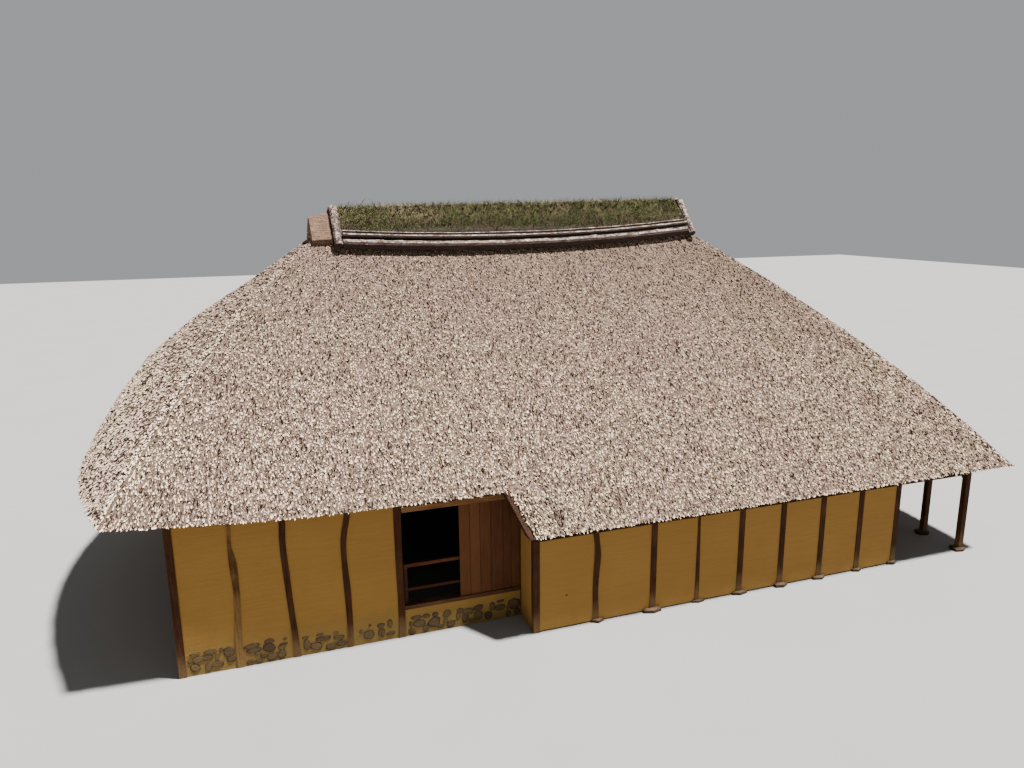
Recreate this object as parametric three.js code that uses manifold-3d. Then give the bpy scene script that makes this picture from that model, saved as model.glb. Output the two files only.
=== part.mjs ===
// Thatched farmhouse with a turf ridge, clay walls between dark posts and a stepped front.
// Millimetres, +Z up. The front looks towards -Y and the long side runs along X.
// It is laid out from the post at the step, then moved so that the origin is at the centre of its base.
import * as THREE from 'three';
import { mergeVertices } from 'three/addons/utils/BufferGeometryUtils.js';
import Module from 'manifold-3d';

const wasm = await Module();
wasm.setup();

// Plan
const leftBay = 914;             // four bays of the recessed left part, and the bays of the left end
const windowBay = 2300;
const wideBay = 1176;            // the first two bays right of the step
const rightBay = 963;            // half a ken, the other bays of the right part and of the right end
const step = 700;                // how far the right part stands in front of the left part
const depth = 10 * rightBay;
const leanTo = 2 * rightBay;     // the open bay under the right end of the roof

const leftEnd = -windowBay - 4 * leftBay;
const rightEnd = 2 * wideBay + 6 * rightBay;
const leanToEnd = rightEnd + leanTo;
const middleY = depth / 2;

// Timber and plaster
const gap = 0.3;                 // between solids that touch
const postWidth = 120;
const half = postWidth / 2;
const faceInset = 15;            // the plaster lies behind the faces of the posts
const backing = 25;              // plaster behind the posts
const plasterFront = half - faceInset;
const plasterBack = half + backing;
const lowerPlateBottom = 1760;
const lowerPlateTop = 1900;
const mainPlateBottom = 2470;
const mainPlateTop = 2574;
const endPlateDepth = 130;       // the plates of the ends follow the underside of the roof
const wallFootGap = 25;          // the plaster of the right part stops short of the ground
const plateInset = 30;           // in the left part plaster and posts run up in front of the main plate

// Window with a board shutter
const sillBottom = 530;
const sillTop = 600;
const windowTop = 2370;
const shutterWidth = 1150;
const shutterThickness = 30;
const shutterInset = 10;         // the outer board leaf runs just behind the faces of the posts
const leafRoom = 10;             // between two board leaves
const railLow = [850, 900];
const railHigh = [1300, 1360];
const stileWidth = 62;

// Roof surfaces: where each one starts at its eave, where it would meet the ridge height, and its bulge
const ridgeHeight = 7400;
const lowEave = 1930;
const highEave = 2620;
const cornerRise = 190;          // how far the high eave climbs to the left corner
const frontEaveY = -300;
const frontBulge = 80;
const leftEaveX = -7000;
const leftTopX = -2455;
const leftBulge = 400;
const rightEaveX = 11000;
const rightTopX = 4740;
const rightBulge = 600;
const thatch = 200;
const rafter = 80;
const batten = 50;
const vergeTopX = -400;          // the lower part of the thatch is cut off along a slanting line
const vergeBottomX = -150;
const far = 14000;               // cutting solids reach this far out
// In plan each end of the roof is rounded between its hips: heights, and how far out its middle lies there
const rounding = [[0, 700], [2600, 780], [3800, 900], [5000, 930], [5500, 640], [6100, 290], [6800, 20],
  [far, 0]];
const leftRounding = 1;
const rightRounding = 0.5;
const planReach = 1.2;           // a rounded end is drawn this share of the way past its hips
const planSteps = 6;
const narrowest = 60;

// Ridge
const ridgeLeft = -2620;
const ridgeRight = 5500;
const rollRadius = 100;
const poleRadius = 40;
const endRollRadius = 100;
const endRollSides = 10;
const endRollFace = endRollRadius * Math.cos(Math.PI / endRollSides);
const turf = 190;
const crownRise = 60;            // the turf is thicker along the middle
const crownDrop = 110;           // the crown of the turf is this much lower at the left
const endRollTops = [7520, 7615]; // heights of the middle of the end rolls above the ridge
const saddleLength = 400;
const saddleThickness = 110;     // on its flanks
const saddleCrown = 45;          // and along its middle
const saddleDrop = 100;          // its outer end is this much lower
// Heights at which the sagging roll touches the thatch: at its left end, its middle and its right end
const rollHeights = [6760, 6670, 6880];
const poleRise = 95;             // the pole lies this much higher than the roll
const turfFoot = 6400;
const turfShoulder = 7330;

// Solids from geometries and back

function solid(geometry) {
  const plain = geometry.clone();
  for (const name of ['normal', 'uv']) {
    if (plain.getAttribute(name)) plain.deleteAttribute(name);
  }
  const welded = mergeVertices(plain.index ? plain.toNonIndexed() : plain, 1e-3);
  const vertProperties = new Float32Array(welded.getAttribute('position').array);
  const triVerts = new Uint32Array(welded.index.array);
  return new wasm.Manifold(new wasm.Mesh({ numProp: 3, vertProperties, triVerts }));
}

function geometryOf(body) {
  const mesh = body.getMesh();
  const geometry = new THREE.BufferGeometry();
  geometry.setAttribute('position', new THREE.BufferAttribute(new Float32Array(mesh.vertProperties), 3));
  geometry.setIndex(new THREE.BufferAttribute(new Uint32Array(mesh.triVerts), 1));
  geometry.computeVertexNormals();
  return geometry;
}

const join = (...bodies) => bodies.reduce((all, body) => all.add(body));
const keep = (...bodies) => bodies.reduce((all, body) => all.intersect(body));
const cut = (body, ...tools) => tools.reduce((rest, tool) => rest.subtract(tool), body);

// Prisms: an outline in (y, z) drawn out along X, or an outline in (x, z) drawn out along Y

function prismAlongX(outline, x0, x1) {
  const shape = new THREE.Shape(outline.map(([y, z]) => new THREE.Vector2(y, z)));
  const geometry = new THREE.ExtrudeGeometry(shape, { depth: x1 - x0, bevelEnabled: false });
  const axes = new THREE.Matrix4().makeBasis(
    new THREE.Vector3(0, 1, 0), new THREE.Vector3(0, 0, 1), new THREE.Vector3(1, 0, 0));
  return solid(geometry.applyMatrix4(axes).translate(x0, 0, 0));
}

function prismAlongY(outline, y0, y1) {
  const shape = new THREE.Shape(outline.map(([x, z]) => new THREE.Vector2(x, z)));
  const geometry = new THREE.ExtrudeGeometry(shape, { depth: y1 - y0, bevelEnabled: false });
  return solid(geometry.rotateX(Math.PI / 2).translate(0, y1, 0));
}

function box(x0, x1, y0, y1, z0, z1) {
  const geometry = new THREE.BoxGeometry(x1 - x0, y1 - y0, z1 - z0);
  return solid(geometry.translate((x0 + x1) / 2, (y0 + y1) / 2, (z0 + z1) / 2));
}

// Roof surfaces as curves in (inward run, height), and the room that lies under each of them

const bulged = (start, end, bulge, out) => new THREE.QuadraticBezierCurve(
  new THREE.Vector2(...start),
  new THREE.Vector2((start[0] + end[0]) / 2 + 2 * bulge * out, (start[1] + end[1]) / 2),
  new THREE.Vector2(...end));

const frontCurve = bulged([frontEaveY, lowEave], [middleY, ridgeHeight], frontBulge, -1);
const leftCurve = bulged([leftEaveX, highEave], [leftTopX, ridgeHeight], leftBulge, -1);
const rightCurve = bulged([rightEaveX, lowEave], [rightTopX, ridgeHeight], rightBulge, 1);
const surfaces = {
  front: { curve: frontCurve, inward: 1, pieces: 4 },
  left: { curve: leftCurve, inward: 1, pieces: 7, rounding: leftRounding },
  right: { curve: rightCurve, inward: -1, pieces: 7, rounding: rightRounding },
};

// Point at a share t of a surface, moved square to it into the roof by a depth
function pointUnder({ curve, inward }, t, under) {
  const point = curve.getPoint(t);
  const tangent = curve.getTangent(t);
  return [point.x + inward * tangent.y * under, point.y - inward * tangent.x * under];
}

// The surface at a depth, with its ends drawn on straight
function surfaceLine(surface, under) {
  const points = [];
  for (let i = 0; i <= surface.pieces; i++) points.push(pointUnder(surface, i / surface.pieces, under));
  const onward = ([a, b], [c, d], reach) => [a + (a - c) * reach, b + (b - d) * reach];
  const first = onward(points[0], points[1], 0.8);
  const last = onward(points.at(-1), points.at(-2), 0.8);
  return [first, ...points, last];
}

const shareAt = (z) => (z - lowEave) / (ridgeHeight - lowEave);

function roundingAt(z) {
  const next = rounding.findIndex(([height]) => height > z);
  const [[z0, a], [z1, b]] = [rounding[next - 1], rounding[next]];
  return a + (b - a) * (z - z0) / (z1 - z0);
}

// From the middle of the house to the hips at a height
const hipRun = (z) => Math.max(narrowest, middleY - frontCurve.getPoint(Math.min(shareAt(z), 1)).x);

// An outline in (x, z) drawn out from hip to hip, and rounded like the end that it belongs to.
// It is made from the front hip to the middle of the house, and mirrored.
function roundedPrism(surface, outline) {
  const shape = new THREE.Shape(outline.map(([x, z]) => new THREE.Vector2(x, z)));
  const geometry = new THREE.ExtrudeGeometry(shape,
    { depth: planReach, steps: planSteps, bevelEnabled: false });
  geometry.rotateX(Math.PI / 2);
  const position = geometry.getAttribute('position');
  for (let i = 0; i < position.count; i++) {
    const [x, share, z] = [position.getX(i), position.getY(i), position.getZ(i)];
    const out = surface.rounding * roundingAt(Math.max(z, 0)) * Math.max(0, 1 - share * share);
    position.setXYZ(i, x - surface.inward * out, middleY + share * hipRun(z), z);
  }
  const half = solid(geometry);
  return join(half, acrossTheHouse(half));
}

function outlineUnder(surface, under) {
  const line = surfaceLine(surface, under);
  const side = surface.inward * far * 1.5;
  return [...line, [side, line.at(-1)[1]], [side, -step], [line[0][0], -step]];
}

const underFront = (under) => prismAlongX(outlineUnder(surfaces.front, under), -far, far);
const underLeft = (under) => roundedPrism(surfaces.left, outlineUnder(surfaces.left, under));
const underRight = (under) => roundedPrism(surfaces.right, outlineUnder(surfaces.right, under));

// The same solid on the other long side of the house
function mirrored(geometry) {
  const copy = geometry.clone().applyMatrix4(new THREE.Matrix4().makeScale(1, -1, 1)).translate(0, depth, 0);
  const index = copy.index.array;
  for (let i = 0; i < index.length; i += 3) [index[i], index[i + 1]] = [index[i + 1], index[i]];
  copy.computeVertexNormals();
  return copy;
}

const acrossTheHouse = (body) => solid(mirrored(geometryOf(body)));
const underBack = (under) => acrossTheHouse(underFront(under));
const underFrontAndBack = (under) => keep(underFront(under), underBack(under));

// Everything above the line of the eaves, which steps down at the verge
function aboveEaves() {
  const climb = new THREE.QuadraticBezierCurve(
    new THREE.Vector2(leftEaveX, highEave + cornerRise),
    new THREE.Vector2((leftEaveX - windowBay) / 2, highEave),
    new THREE.Vector2(-windowBay, highEave));
  const rising = climb.getPoints(6).map((point) => [point.x, point.y]);
  return prismAlongY([
    [-far, rising[0][1]], ...rising, [vergeTopX, highEave], [vergeBottomX, lowEave],
    [far, lowEave], [far, far], [-far, far]], -far, far);
}

const eaves = aboveEaves();

// Thatch

function frontThatch() {
  const frontHalf = box(-far, far, -far, middleY - gap / 2, 0, far);
  return cut(keep(underFront(0), underLeft(0), underRight(0), eaves, frontHalf), underFront(thatch));
}

function endThatch(under) {
  return cut(keep(under(0), underFrontAndBack(thatch + gap), eaves), under(thatch));
}

// Rafters with the battens that tie them together

const postsX = [0, 1, 2, 3, 4].map((i) => leftEnd + i * leftBay);
const plateRecessEnd = postsX[4] - half - faceInset;  // the main plate is set back up to here
postsX.push(0, wideBay, 2 * wideBay);
for (let i = 1; i <= 6; i++) postsX.push(2 * wideBay + i * rightBay);

function rafterPlacesX() {
  const places = [leftEnd - leftBay / 4];
  for (let i = 0; i + 1 < postsX.length; i++) {
    const [a, b] = [postsX[i], postsX[i + 1]];
    const count = b - a > 1.5 * wideBay ? 3 : 1;
    for (let k = 1; k <= count; k++) places.push(a + (b - a) * k / (count + 1));
  }
  places.push(rightEnd + rightBay / 2, rightEnd + 1.5 * rightBay);
  return places;
}

const rafterTop = thatch + gap;
const rafterBottom = thatch + rafter;
const battenBottom = rafterBottom + batten;
const rafterOverlap = 10;        // battens are let into the rafters
const battenRoom = 20;           // between the ends of the battens and those of the other slope
const frontBattens = [0.2, 0.4, 0.6, 0.8];
const endBattens = [0.1, 0.4, 0.6, 0.8];

function bandOutline(surface, top, bottom) {
  const upper = surfaceLine(surface, top);
  const lower = surfaceLine(surface, bottom);
  return [...upper, ...lower.reverse()];
}

function battenOutline(surface, t) {
  const side = batten / surface.curve.getLength() / 2;
  const corners = [[t - side, rafterBottom - rafterOverlap], [t + side, rafterBottom - rafterOverlap],
    [t + side, battenBottom], [t - side, battenBottom]];
  return corners.map(([share, under]) => pointUnder(surface, share, under));
}

function frontRafters() {
  const band = bandOutline(surfaces.front, rafterTop, rafterBottom);
  const rafters = rafterPlacesX().map((x) => prismAlongX(band, x - rafter / 2, x + rafter / 2));
  const battens = frontBattens.map((t) => prismAlongX(battenOutline(surfaces.front, t), -far, far));
  const end = battenBottom + battenRoom;
  const halfSpace = box(-far, far, -far, middleY - rafter, 0, far);
  return keep(join(...rafters, ...battens), underLeft(end), underRight(end), eaves, halfSpace);
}

function endRafters(surface, placesY) {
  const band = roundedPrism(surface, bandOutline(surface, rafterTop, rafterBottom));
  const rafters = placesY.map((y) => keep(band, box(-far, far, y - rafter / 2, y + rafter / 2, 0, far)));
  const battens = endBattens.map((t) => roundedPrism(surface, battenOutline(surface, t)));
  return keep(join(...rafters, ...battens), underFrontAndBack(rafterTop), eaves);
}

// Trusses: tie beams with a pair of sloping legs each, joined by the ridge pole

const trussPlaces = [4, 5, 7, 9].map((i) => postsX[i]);
const tieBeamTop = mainPlateTop + 180;
const legTop = battenBottom + gap;
const legBottom = legTop + 130;
const poleBelowApex = [200, 60]; // the ridge pole hangs in the angle of the legs

function trusses() {
  const legs = keep(underFrontAndBack(legTop), box(-far, far, -far, far, tieBeamTop - rafterOverlap, far));
  const hollow = underFrontAndBack(legBottom);
  const frames = cut(legs, hollow);
  const slabs = trussPlaces.map((x) => box(x - half, x + half, -far, far, 0, far));
  const pairs = slabs.map((slab) => keep(frames, slab, underLeft(legTop), underRight(legTop)));
  const ties = trussPlaces.map((x) => keep(
    box(x - half, x + half, step - half, depth - step + half, mainPlateTop + gap, tieBeamTop),
    underFrontAndBack(rafterTop)));
  const apex = pointUnder(surfaces.front, 1, legBottom)[1];
  const pole = keep(
    box(trussPlaces[0] - half, trussPlaces.at(-1) + half, middleY - half, middleY + half,
      apex - poleBelowApex[0], apex - poleBelowApex[1]),
    underLeft(legTop), underRight(legTop));
  return join(...pairs, ...ties, pole);
}

// Posts. A crooked post is an outline through a few points of [offset to the right, height, width].

const crooked = {
  1: [[0, 0, 118], [-12, 500, 112], [16, 1000, 100], [26, 1400, 96], [12, 1860, 118], [-16, 2160, 62],
    [-10, 2470, 56], [-8, 2860, 56]],
  2: [[12, 0, 106], [-22, 500, 100], [-60, 1100, 96], [-84, 1600, 104], [-108, 2080, 100], [-90, 2470, 104],
    [-84, 2860, 104]],
  3: [[-4, 0, 92], [0, 500, 96], [-12, 1100, 112], [-36, 1650, 90], [-26, 2050, 98], [54, 2470, 100],
    [80, 2860, 100]],
  4: [[0, 0, 124], [0, 600, 116], [-12, 1500, 122], [-10, 2470, 130]],
  6: [[0, 0, 118], [-20, 560, 104], [-10, 900, 112], [18, 1300, 124], [4, 1560, 104], [-24, 1760, 112]],
  8: [[6, 0, 92], [0, 900, 70], [-8, 1760, 44]],
};

const inLeftPart = (i) => i < 5;
const tallPosts = [0, 1, 2, 3];  // they reach the thatch
const lineY = (i) => (inLeftPart(i) ? step : 0);
const plateAbove = (i) => (inLeftPart(i) ? mainPlateBottom : lowerPlateBottom);
const postTop = (i) => (tallPosts.includes(i) ? far : plateAbove(i) - gap);

function postOutline(i, spare) {
  const side = (sign) => {
    const points = crooked[i].map(([dx, z, width]) => new THREE.Vector2(
      postsX[i] + dx + sign * (width / 2 + spare), Math.min(z, postTop(i))));
    return new THREE.SplineCurve(points).getPoints(3 * (points.length - 1));
  };
  return [...side(1), ...side(-1).reverse()].map((point) => [point.x, point.y]);
}

const post = (i, spare = 0) => prismAlongY(
  postOutline(i, spare), lineY(i) - half - spare, lineY(i) + half + spare);
const straightPost = (x, y, top) => box(x - half, x + half, y - half, y + half, 0, top);
const straightGroove = (x, y) => box(x - half - gap, x + half + gap, y - half - gap, y + half + gap, -1, far);
const groove = (i) => (crooked[i] ? post(i, gap) : straightGroove(postsX[i], lineY(i)));

// The room of the main plate, and of a rafter of the front slope
const plateRoom = box(-far, far, step - half + plateInset - gap, step + half + gap,
  mainPlateBottom - gap, mainPlateTop + gap);
const rafterRoom = (x) => prismAlongX(
  bandOutline(surfaces.front, rafterTop - 2 * gap, rafterBottom + gap),
  x - rafter / 2 - gap, x + rafter / 2 + gap);

// A tall post is notched for the main plate
const tallPost = (body) => cut(keep(body, underFront(rafterTop)), plateRoom);

// Walls

// Room that an end wall leaves for the plaster of a long wall on the line y, between two places along X
const insideOf = (x0, x1, y) => box(x0, x1, y - half, y + plasterBack + gap, -1, far);

// Thin plaster in front of the main plate, up to the thatch and round the rafters
function plasterHead(x1) {
  const slab = box(leftEnd + half + gap, x1, step - plasterFront, step - half + plateInset - gap,
    mainPlateBottom - gap - 1, far);
  return cut(keep(slab, underFront(rafterTop)), ...rafterPlacesX().slice(0, 5).map(rafterRoom));
}

function frontLeftWall() {
  const slab = box(leftEnd + half + gap, -windowBay - half, step - plasterFront, step + plasterBack,
    0, mainPlateBottom - gap);
  return cut(join(slab, plasterHead(plateRecessEnd - 2)), groove(1), groove(2), groove(3), groove(4));
}

function frontWindowWall() {
  const left = postsX[4] + crooked[4][0][2] / 2 + gap;
  return box(left, -half - gap, step - plasterFront, step + plasterBack, 0, sillBottom - gap);
}

// The wall of the left part of the other long side, in one piece with the wall under its window
function backLeftWall() {
  const slab = box(leftEnd + half + gap, -half - gap, step - plasterFront, step + plasterBack,
    0, mainPlateBottom - gap);
  const window = box(windowLeft, far, -far, far, sillBottom - gap, far);
  return cut(join(slab, plasterHead(plateRecessEnd - 2)), window,
    ...[1, 2, 3, 4].map((i) => straightGroove(postsX[i], step)));
}

// A stretch of the right part's wall between two posts, with grooves for those that it passes
function rightWall(from, to) {
  const slab = box(postsX[from] + half + gap, postsX[to] - half - gap, -plasterFront, plasterBack,
    wallFootGap, lowerPlateBottom - gap);
  const passed = postsX.map((x, i) => i).filter((i) => i > from && i < to);
  return { slab, passed };
}

function frontRightWall() {
  const { slab, passed } = rightWall(5, 13);
  return cut(slab, ...passed.map(groove));
}

function backRightWall(from, to) {
  const { slab, passed } = rightWall(from, to);
  return cut(slab, ...passed.map((i) => straightGroove(postsX[i], 0)));
}

function stepWall() {
  const slab = box(-plasterFront, plasterBack, half + gap, step - half - gap, 0, far);
  return cut(keep(slab, underFront(rafterTop)), insideOf(half, far, 0));
}

const endBay = (depth - 2 * step) / 9;
const leftPostsY = [1, 2, 3, 4, 5, 6, 7, 8].map((i) => step + i * endBay);
const rightPostsY = [1, 2, 3, 4, 5, 6, 7, 8, 9].map((i) => i * rightBay);
const rafterPlacesY = [0, 1, 2, 3, 4, 5, 6, 7, 8].map((i) => step + (i + 0.5) * endBay);
const leanToPostsY = rightPostsY.filter((y, i) => i % 2 === 0);

// The room under an end of the roof, clear of its rafters and battens and this much lower
const underEnd = (under, lower) => keep(
  underFrontAndBack(battenBottom + gap + lower), under(battenBottom + gap + lower));

function leftEndWall() {
  const slab = box(leftEnd - plasterFront, leftEnd + plasterBack,
    step + half + gap, depth - step - half - gap, 0, far);
  const corner = insideOf(leftEnd + half, far, step);
  return cut(keep(slab, underEnd(underLeft, endPlateDepth + gap)), corner, acrossTheHouse(corner),
    ...leftPostsY.map((y) => straightGroove(leftEnd, y)));
}

function rightEndWall() {
  const slab = box(rightEnd - plasterBack, rightEnd + plasterFront, half + gap, depth - half - gap,
    wallFootGap, far);
  const corner = insideOf(-far, rightEnd - half, 0);
  return cut(keep(slab, underEnd(underRight, endPlateDepth + gap)), corner, acrossTheHouse(corner),
    ...rightPostsY.map((y) => straightGroove(rightEnd, y)));
}

// Frames: posts and the plate on them

// The plate of an end runs up and down with the roof between the corner posts
function endFrame(x, placesY, cornerY, under) {
  const from = cornerY + half + gap;
  const plate = cut(box(x - half, x + half, from, depth - from, 0, far), underEnd(under, endPlateDepth));
  const uprights = placesY.map((y) => straightPost(x, y, far));
  return keep(join(plate, ...uprights), underEnd(under, 0));
}

// The lower plate of the right part on its straight posts, up to the corner of the open bay
function lowerFrame(straightPosts) {
  const plate = box(-half, leanToEnd + half, -half, half, lowerPlateBottom, lowerPlateTop);
  const uprights = [...straightPosts.map((i) => postsX[i]), leanToEnd].map(
    (x) => straightPost(x, 0, lowerPlateBottom + 1));
  return keep(join(plate, ...uprights), underFront(rafterBottom + gap));
}

// The main plate runs the whole length, with a post at the step and inner posts in the right part
function mainFrame(straightPosts) {
  const beam = box(leftEnd - half, rightEnd - plasterBack - gap, step - half, step + half,
    mainPlateBottom, mainPlateTop);
  const recess = box(-far, plateRecessEnd, -far, step - half + plateInset, 0, far);
  const plate = cut(beam, recess);
  const inner = [7, 9, 11].map((i) => postsX[i]);
  const last = rightEnd - plasterBack - half - gap;
  const uprights = [...straightPosts.map((i) => postsX[i]), 0, ...inner, last].map(
    (x) => straightPost(x, step, mainPlateBottom + 1));
  const tall = straightPosts.filter((i) => tallPosts.includes(i)).map(
    (i) => keep(straightPost(postsX[i], step, far), underFront(rafterTop)));
  return join(keep(join(plate, ...uprights), underFront(rafterBottom + gap)), ...tall);
}

// Window

const windowLeft = -windowBay + half + gap;
const windowRight = -half - gap;

const windowSill = () => box(windowLeft, windowRight, step - half - faceInset, step + plasterBack,
  sillBottom, sillTop);
const windowLintel = () => box(windowLeft, windowRight, step - half - faceInset, step + half,
  windowTop, mainPlateBottom - gap);

function windowShutter() {
  const face = step - half + shutterInset;
  return box(windowRight - 2 - shutterWidth, windowRight - 2, face, face + shutterThickness,
    sillTop + gap, windowTop - gap);
}

// A second leaf on the track behind the first one closes the other half
function innerShutter() {
  const face = step - half + shutterInset + shutterThickness + leafRoom;
  return box(windowLeft + 2, windowLeft + 2 + shutterWidth, face, face + shutterThickness,
    sillTop + gap, windowTop - gap);
}

// A low frame of two rails and two stiles stands in the window behind the shutter
function windowGuard() {
  const [x0, x1] = [windowLeft + 14, windowRight - 2];
  const [y0, y1] = [step + 5, step + 55];
  const rail = ([bottom, top]) => box(x0, x1, y0, y1, bottom, top);
  const stile = (x) => box(x, x + stileWidth, y0, y1, sillTop + gap, railHigh[1]);
  return join(rail(railHigh), rail(railLow), stile(x0), stile(x1 - stileWidth));
}

// Ridge

const surfacePoint = (share, out) => pointUnder(surfaces.front, share, -out);

function tube(curve, radius, sides, steps) {
  const circle = [];
  for (let i = 0; i < sides; i++) {
    const angle = 2 * Math.PI * (i + 0.5) / sides;
    circle.push(new THREE.Vector2(radius * Math.cos(angle), radius * Math.sin(angle)));
  }
  const shape = new THREE.Shape(circle);
  return solid(new THREE.ExtrudeGeometry(shape, { extrudePath: curve, steps, bevelEnabled: false }));
}

const poleHeights = rollHeights.map((z) => z + poleRise);
const ridgeMiddle = (ridgeLeft + ridgeRight) / 2;
const roofSkin = keep(underFrontAndBack(-gap), underLeft(-gap), underRight(-gap));
const betweenEndRolls = box(
  ridgeLeft + endRollFace + gap, ridgeRight - endRollFace - gap, -far, far, 0, far);

// The quadratic curve through three points
function curveThrough(a, b, c) {
  const control = b.clone().multiplyScalar(2).addScaledVector(a, -0.5).addScaledVector(c, -0.5);
  return new THREE.QuadraticBezierCurve3(a, control, c);
}

function saggingLine(heights, out) {
  const xs = [ridgeLeft, ridgeMiddle, ridgeRight];
  const points = xs.map((x, i) => new THREE.Vector3(x, ...surfacePoint(shareAt(heights[i]), out)));
  return curveThrough(...points);
}

const sagSteps = 16;
const rollTube = (spare) => tube(saggingLine(rollHeights, rollRadius - 2), rollRadius + spare, 12, sagSteps);
const poleLine = saggingLine(poleHeights, turf + poleRadius - 15);
const poleTube = (spare) => tube(poleLine, poleRadius + spare, 8, sagSteps);
const ridgeRoll = () => cut(keep(rollTube(0), betweenEndRolls), roofSkin);
const ridgePole = () => keep(poleTube(0), betweenEndRolls);

// The room on the slope below the middle of the roll, where no turf lies
function belowRoll() {
  const [low, high] = [surfacePoint(shareAt(rollHeights[1]), 0), surfacePoint(shareAt(rollHeights[2]), 0)];
  const along = new THREE.Vector3(0, high[0] - low[0], high[1] - low[1]).normalize();
  const outward = new THREE.Vector3(1, 0, 0).cross(along);
  const line = saggingLine(rollHeights, 0).getPoints(sagSteps).map((point) => new THREE.Vector2(
    point.x, new THREE.Vector3(0, point.y - low[0], point.z - low[1]).dot(along)));
  line[0].x -= endRollRadius;
  line.at(-1).x += endRollRadius;
  const reach = 900;
  const below = [line.at(-1), line[0]].map(({ x }) => new THREE.Vector2(x, -reach));
  const geometry = new THREE.ExtrudeGeometry(new THREE.Shape([...line, ...below]),
    { depth: 2 * reach, bevelEnabled: false });
  const axes = new THREE.Matrix4().makeBasis(new THREE.Vector3(1, 0, 0), along, outward);
  return solid(geometry.translate(0, 0, -reach).applyMatrix4(axes).translate(0, low[0], low[1]));
}

function turfRidge() {
  const foot = surfacePoint(shareAt(turfFoot), -turf);
  const rise = surfacePoint(shareAt(turfFoot), turf);
  const shoulder = surfacePoint(shareAt(turfShoulder), turf);
  const back = [shoulder, rise, foot].map(([y, z]) => [depth - y, z]);
  const outline = [foot, rise, shoulder, [middleY, ridgeHeight + turf + crownRise], ...back];
  const sinking = prismAlongX(outline, ridgeLeft, ridgeRight).warp((point) => {
    const share = (ridgeRight - point[0]) / (ridgeRight - ridgeLeft);
    point[2] -= crownDrop * share * Math.max(0, (point[2] - turfFoot) / (ridgeHeight + turf - turfFoot));
  });
  const mound = keep(sinking, betweenEndRolls);
  const edge = join(belowRoll(), rollTube(gap), poleTube(gap));
  return cut(mound, roofSkin, edge, acrossTheHouse(edge));
}

// An end roll is bent over the ridge like an upturned V with a round top
function endRoll(x, footHeight, top) {
  const out = endRollRadius + 20;
  const foot = surfacePoint(shareAt(footHeight), out);
  const shoulder = surfacePoint(shareAt(7180), out + 40);
  const right = [shoulder, foot].map(([y, z]) => [depth - y, z]);
  const path = [foot, shoulder, [middleY, top], ...right].map(
    ([y, z]) => new THREE.Vector3(x, y, z));
  return cut(tube(new THREE.CatmullRomCurve3(path), endRollRadius, endRollSides, 16), roofSkin);
}

// A saddle of thatch closes the left end of the ridge
function endSaddle() {
  const edge = rollHeights[0] + 40;
  const front = [[edge, 0], [edge + 40, saddleThickness], [turfShoulder, saddleThickness]].map(
    ([height, out]) => surfacePoint(shareAt(height), out));
  const back = front.map(([y, z]) => [depth - y, z]).reverse();
  const outline = [...front, [middleY, ridgeHeight + saddleCrown], ...back, [middleY, turfFoot]];
  const right = ridgeLeft - endRollFace - gap;
  const sloping = prismAlongX(outline, right - saddleLength, right).warp((point) => {
    const high = Math.max(0, (point[2] - edge) / (ridgeHeight + saddleCrown - edge));
    point[2] -= saddleDrop * high * (right - point[0]) / saddleLength;
  });
  return cut(sloping, roofSkin);
}

// Materials

const finish = (color, roughness) => new THREE.MeshStandardMaterial({ color, roughness, metalness: 0 });
const clay = finish(0xb98c46, 0.9);
const darkWood = finish(0x33200f, 0.8);
const boardWood = finish(0x4c2818, 0.7);
const paleWood = finish(0x8a6236, 0.7);
const straw = finish(0xb9a698, 1);
const bark = finish(0xb9ada0, 0.9);
const grass = finish(0x5f6a2c, 1);
const bamboo = finish(0x7d6a45, 0.7);

// Assembly

const house = new THREE.Group();

function place(name, body, material) {
  const mesh = new THREE.Mesh(body.isBufferGeometry ? body : geometryOf(body), material);
  mesh.name = name;
  house.add(mesh);
  return mesh;
}

// A piece of the front and its twin at the back
function placeBoth(name, body, material) {
  const geometry = geometryOf(body);
  place(`front_${name}`, geometry, material);
  place(`back_${name}`, mirrored(geometry), material);
}

place('left_post_1', tallPost(straightPost(leftEnd, step, far)), darkWood);
for (const i of [1, 2, 3]) place(`left_post_${i + 1}`, tallPost(post(i)), darkWood);
place('left_post_5', post(4), darkWood);
place('right_post_bowed', post(6), darkWood);
place('right_post_tapered', post(8), darkWood);
place('front_main_frame', mainFrame([]), darkWood);
place('front_lower_frame', lowerFrame([5, 7, 9, 10, 11, 12, 13]), darkWood);
place('back_main_frame', acrossTheHouse(mainFrame([0, 1, 2, 3, 4])), darkWood);
place('back_lower_frame', acrossTheHouse(lowerFrame([5, 6, 7, 8, 9, 11, 12, 13])), darkWood);
place('left_end_frame', endFrame(leftEnd, leftPostsY, step, underLeft), darkWood);
place('right_end_frame', endFrame(rightEnd, rightPostsY, 0, underRight), darkWood);
place('open_bay_frame', endFrame(leanToEnd, leanToPostsY, 0, underRight), darkWood);

place('front_left_wall', frontLeftWall(), clay);
place('front_window_wall', frontWindowWall(), clay);
place('front_right_wall', frontRightWall(), clay);
placeBoth('step_wall', stepWall(), clay);
place('back_left_wall', acrossTheHouse(backLeftWall()), clay);
place('back_right_wall_1', acrossTheHouse(backRightWall(5, 9)), clay);
place('back_right_wall_2', acrossTheHouse(backRightWall(11, 13)), clay);
place('left_end_wall', leftEndWall(), clay);
place('right_end_wall', rightEndWall(), clay);

placeBoth('window_sill', windowSill(), darkWood);
placeBoth('window_lintel', windowLintel(), paleWood);
place('front_window_guard', windowGuard(), paleWood);
placeBoth('window_shutter', windowShutter(), boardWood);
place('back_window_inner_shutter', acrossTheHouse(innerShutter()), boardWood);

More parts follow.
